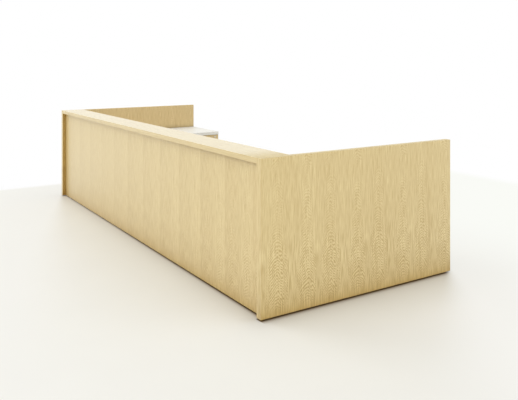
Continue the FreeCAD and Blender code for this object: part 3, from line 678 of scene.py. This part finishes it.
def past_corners(look, x, y):
    """How far a place is past the desk's rear corner and its left front one, in soft edges, for the
    painted light there.
    """
    past_x = look.most(look.sub(x, END_FACE), 0.0)
    short_x = look.least(look.most(look.sub(END_FACE, x), 0.0), BEHIND_SHORT)
    corner, growth = BEHIND_SOFT
    edge = look.add(corner, look.mul(past_x, growth), short_x)
    behind = look.over(look.add(past_x, look.sub(y, DESK_REAR)), edge)
    along_front = look.most(look.add(x, END_FACE), 0.0)
    past_left = look.most(look.sub(-END_FACE, x), 0.0)
    ahead = look.most(look.sub(DESK_FRONT, y), 0.0)
    corner, growth = LEFT_SOFT
    edge = look.add(corner, look.mul(along_front, growth))
    left = look.over(look.add(ahead, past_left, look.mul(along_front, LEFT_SLANT)), edge)
    return behind, left


def floor_look():
    """Pale floor that keeps the shadows, with painted contact shadow, shade and light near the
    desk, and ends in the white of the backdrop on two sides.
    """
    look = Look("floor_pale", Roughness=0.55)
    x, y, _ = look.split(look.object)
    cloud = look.noise(look.object, per_metre=1.3, detail=3.0)
    pale = look.colour(cloud, FLOOR_GREY, FLOOR_PALE)
    # Painted light: the floor whiter to the right of the desk
    right_light = look.mul(*(look.smooth(at, *span) for at, span in zip((x, y), RIGHT_LIGHT_SPANS)))
    pale = look.colour(right_light, pale, FLOOR_RIGHT_LIGHT)

    # The painted contact shadow shows, and the painted shade is what the walls get in bounced light
    wide = look.smooth(x, *CONTACT_SHADOW_WIDTH)
    deep = look.smooth(x, *CONTACT_SHADOW_DEPTH)
    contact_shadow, shade = contact_shadow_and_shade(look, x, y, wide, deep)
    behind, left = past_corners(look, x, y)
    contact_shadow = look.mul(contact_shadow, look.sub(1.0, look.smooth(behind, *CONTACT_SHADOW_FADES)))
    shown = look.colour(contact_shadow, pale, look.colour(deep, CONTACT_SHADOW_FAR, CONTACT_SHADOW_NEAR))
    bounced = look.colour(shade, BOUNCE_COLOUR, SHADE_COLOUR)
    paths = look.node("LightPath").outputs
    seen = look.most(paths["Is Camera Ray"], paths["Is Glossy Ray"])
    look.set("Base Color", look.colour(seen, bounced, shown))

    # Painted light past the corners of the desk, glowing for the camera, and white at the ends
    lit = look.most(
        look.smooth(behind, -1.0, 1.0, 0.0, BEHIND_SHARE),
        look.smooth(left, -1.0, 1.0, 0.0, LEFT_SHARE),
    )
    lit_colour = look.colour(look.smooth(y, *LIT_REAR_SPAN), FLOOR_LIT, FLOOR_LIT_REAR)
    beyond = look.most(look.smooth(x, *FLOOR_LEFT_END), look.smooth(y, *FLOOR_REAR_END))
    surface = look.shader.outputs[0]
    for share, colour in ((lit, lit_colour), (beyond, WHITE)):
        glow = look.node("Emission", {"Color": colour, "Strength": 1.0}).outputs[0]
        surface = look.shader_mix(look.mul(share, paths["Is Camera Ray"]), surface, glow)
    look.join(surface, look.tree.nodes["Material Output"].inputs["Surface"])
    return look.material


def floor():
    corners = [(x * FLOOR_HALF, y * FLOOR_HALF, 0) for x, y in ((-1, -1), (1, -1), (1, 1), (-1, 1))]
    mesh = bpy.data.meshes.new("floor")
    mesh.from_pydata(corners, [], [(0, 1, 2, 3)])
    mesh.materials.append(floor_look())
    plane = bpy.data.objects.new("floor", mesh)
    bpy.context.scene.collection.objects.link(plane)


# Light: a dome that leans, with two brighter quarters, and a large soft lamp

DOME_COLOUR = rgb(1.0, 0.995, 0.98)
DOME_LEVEL = 0.97
DOME_LEAN = (0.15, -0.18, 0.15)
DOME_CORNERS = 1.6
KEY_PLACE = (-6.5, -5.0, 8.0)
KEY_TARGET = (0.0, 0.0, 0.4)
KEY_SIDE = 5.0
KEY_POWER = 185.0


def world():
    """White where it is seen or mirrored, and elsewhere a soft dome, brighter overhead and on the
    visitor's left."""
    made = bpy.data.worlds.new("studio")
    bpy.context.scene.world = made
    made.use_nodes = True
    made.node_tree.nodes.clear()
    sky = Tree(made.node_tree)
    path = sky.node("LightPath").outputs
    clear = sky.most(path["Is Camera Ray"], path["Is Glossy Ray"])
    clear = sky.most(clear, path["Is Transmission Ray"])
    direction = sky.node("TexCoord").outputs["Generated"]
    lean = sky.node("VectorMath", {0: direction, 1: DOME_LEAN}, operation="DOT_PRODUCT")
    x, y, _ = sky.split(direction)
    corners = sky.math("MULTIPLY_ADD", sky.mul(x, y), DOME_CORNERS, DOME_LEVEL)
    level = sky.most(sky.add(lean.outputs["Value"], corners), 0.0)
    dome = sky.node("Background", {"Color": DOME_COLOUR, "Strength": level}).outputs[0]
    white = sky.node("Background", {"Color": WHITE, "Strength": 1.0}).outputs[0]
    sky.node("OutputWorld", {"Surface": sky.shader_mix(clear, dome, white)})


def key_lamp():
    lamp = bpy.data.lights.new("key", "AREA")
    lamp.shape = "RECTANGLE"
    lamp.size = lamp.size_y = KEY_SIDE
    lamp.energy = KEY_POWER
    holder = bpy.data.objects.new("key", lamp)
    holder.location = KEY_PLACE
    aim = Vector(KEY_TARGET) - Vector(KEY_PLACE)
    holder.rotation_euler = aim.to_track_quat("-Z", "Y").to_euler()
    bpy.context.scene.collection.objects.link(holder)


# Camera: the photograph's view, level, with its horizon near the top of the frame

CAMERA_PLACE = (5.80534, -3.21393, 1.73155)
CAMERA_TURN = 57.506
CAMERA_LENS = 44.61
CAMERA_SENSOR = 36.0
CAMERA_SHIFT = (0.0110, -0.2754)


def camera():
    lens = bpy.data.cameras.new("camera")
    lens.sensor_fit = "HORIZONTAL"
    lens.sensor_width = CAMERA_SENSOR
    lens.lens = CAMERA_LENS
    lens.shift_x, lens.shift_y = CAMERA_SHIFT
    holder = bpy.data.objects.new("camera", lens)
    holder.location = CAMERA_PLACE
    holder.rotation_euler = (math.radians(90), 0, math.radians(CAMERA_TURN))
    bpy.context.scene.collection.objects.link(holder)
    bpy.context.scene.camera = holder


floor()
world()
key_lamp()
camera()
bpy.context.scene.view_settings.view_transform = "Standard"
